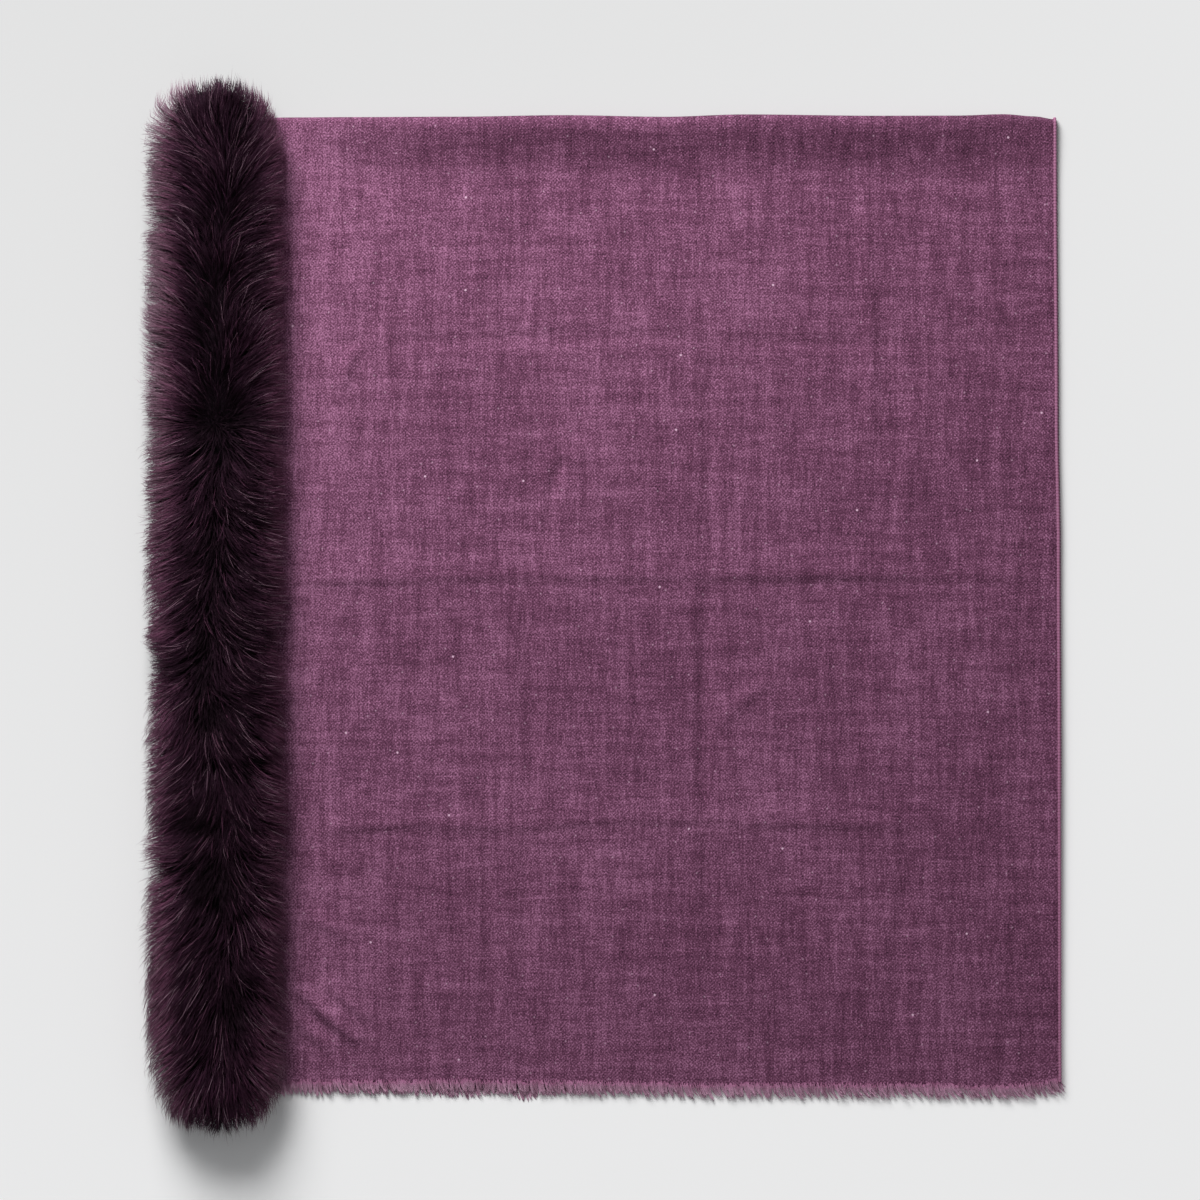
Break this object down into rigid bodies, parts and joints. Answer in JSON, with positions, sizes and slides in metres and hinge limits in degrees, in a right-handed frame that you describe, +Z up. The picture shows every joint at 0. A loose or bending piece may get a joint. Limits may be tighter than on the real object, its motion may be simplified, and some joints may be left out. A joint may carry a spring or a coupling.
{
  "type": "folded wool wrap with fur trim",
  "caption": "Fringed twill wool wrap folded in half and laid flat, with a plump long-haired fur trim along one long edge.",
  "frame": {"origin": "on the floor under the middle of the folded wrap's bounding box", "axes": "+X from the fur trim towards the selvedges, +Y from the frayed ends towards the fold, +Z up off the surface it lies on"},
  "size_m": [0.8227, 0.942, 0.0652],
  "materials": {
    "twill": "fine heathered wool twill in plum mauve, soft and matt with a faint nap",
    "fur": "dense long-haired fur in dark plum with paler guard hairs and pinkish brown tips",
    "yarn": "loose wool yarn ends, a little paler than the cloth"
  },
  "bodies": {
    "root": {"wool_panel": "twill", "fur_trim": "fur", "fringe_upper": "yarn", "fringe_lower": "yarn"}
  },
  "joints": []
}
